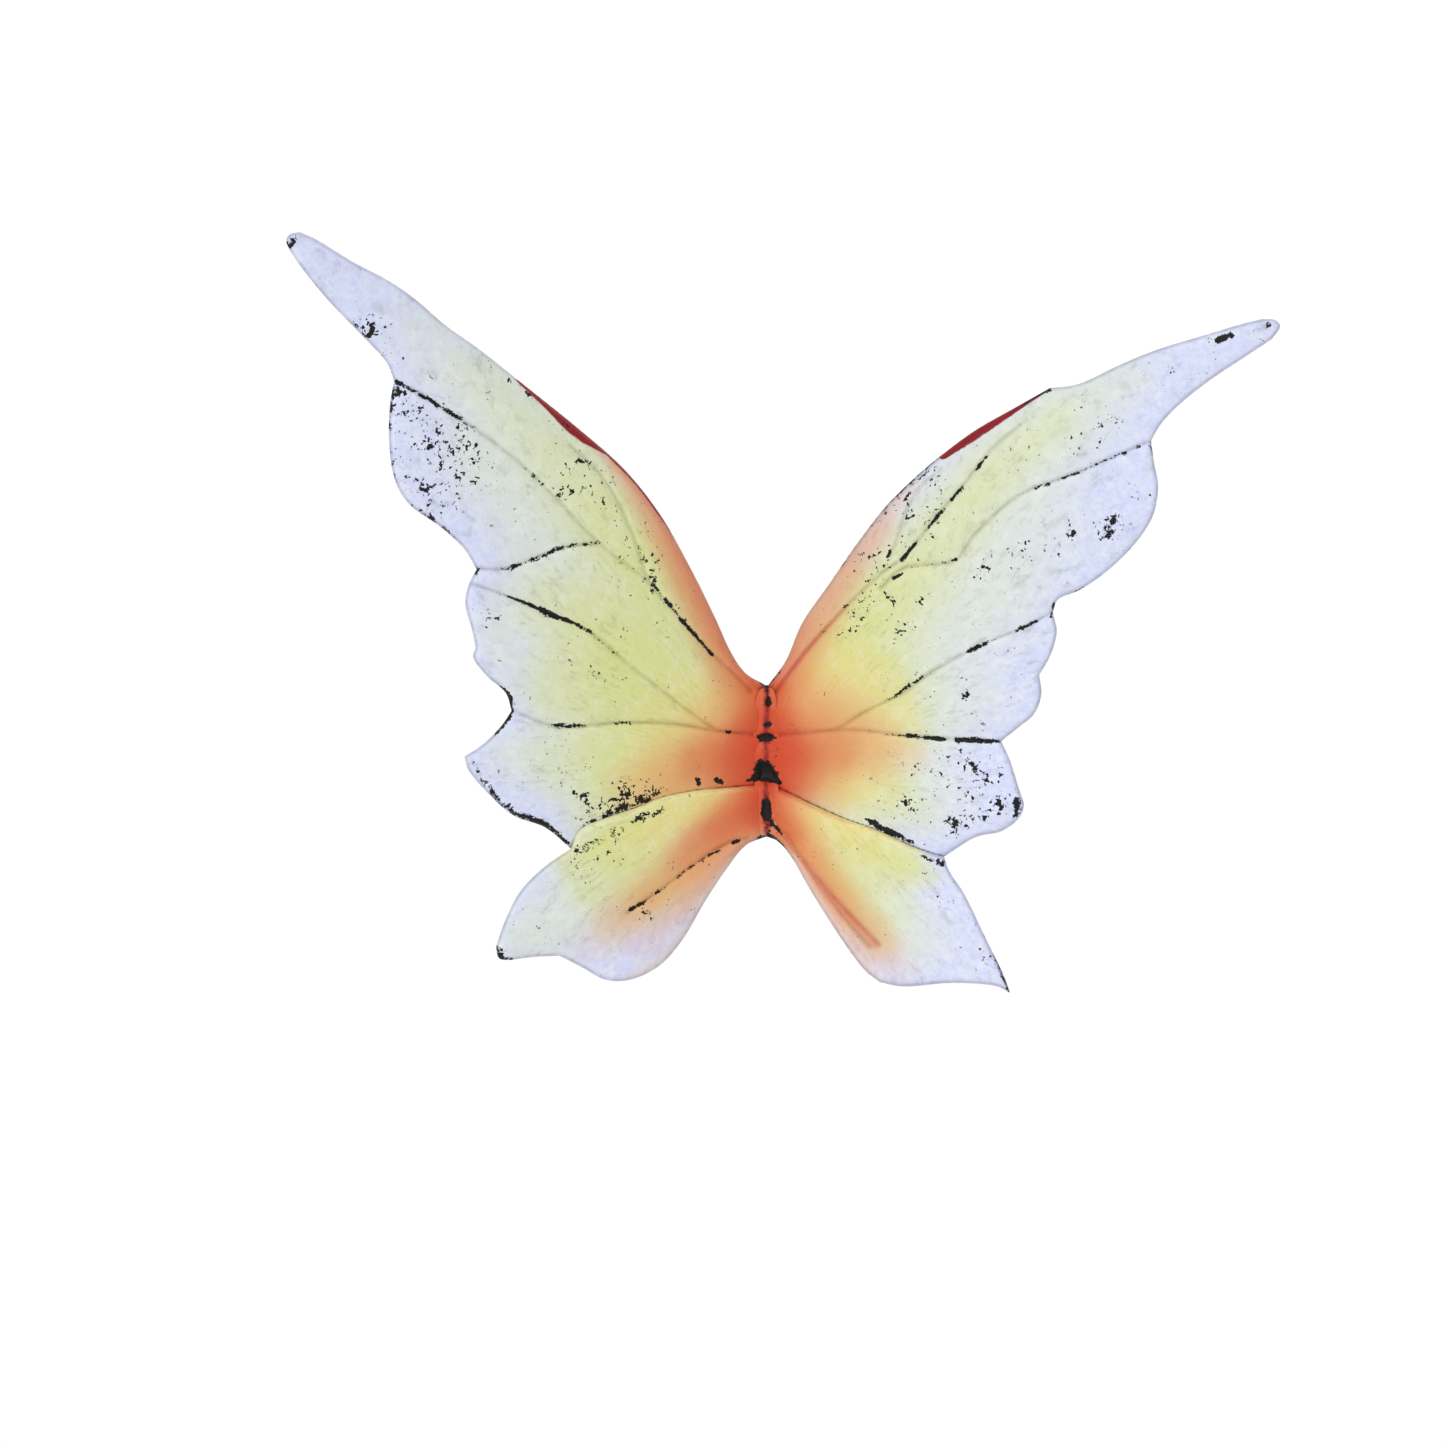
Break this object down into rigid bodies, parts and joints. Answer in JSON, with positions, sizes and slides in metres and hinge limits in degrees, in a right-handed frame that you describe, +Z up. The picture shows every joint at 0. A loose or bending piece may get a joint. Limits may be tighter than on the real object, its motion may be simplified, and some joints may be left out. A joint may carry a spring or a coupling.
{
  "type": "figurine fairy wings",
  "caption": "Hand-painted cast wings for a small fairy figure: forewings and hindwings with scalloped edges and engraved veins, joined at a root block with mounting pins.",
  "frame": {"origin": "centre of the flat glue face on the front of the root block, where the wings meet the figure's back", "axes": "+X along the span, to the right of someone who stands behind the figure; +Y out of the glue face, towards the figure; +Z up"},
  "size_m": [0.0969, 0.0307, 0.0744],
  "materials": {
    "forewing_resin": "cast polyresin, hand-painted: orange-red root through peach and yellow-green to a pale lavender margin, black wash in the veins, satin varnish",
    "hindwing_resin": "cast polyresin, hand-painted: orange root, yellow middle, pale green-grey tip, black specks, satin varnish",
    "root_resin": "cast polyresin, painted crimson, bare and sanded on the glue face",
    "putty": "hand-pressed epoxy putty, painted orange-red with black wash in its pits",
    "iron_wire": "annealed black iron wire",
    "steel_pin": "drawn steel, plain"
  },
  "bodies": {
    "root": {"left_forewing": "forewing_resin", "right_forewing": "forewing_resin", "left_hindwing": "hindwing_resin", "right_hindwing": "hindwing_resin", "root_block": "root_resin", "seam_bead": "putty", "left_forewing_wire": "iron_wire", "right_forewing_wire": "iron_wire", "left_hindwing_wire": "iron_wire", "right_hindwing_wire": "iron_wire", "upper_mounting_pin": "steel_pin", "lower_mounting_pin": "steel_pin"}
  },
  "joints": []
}
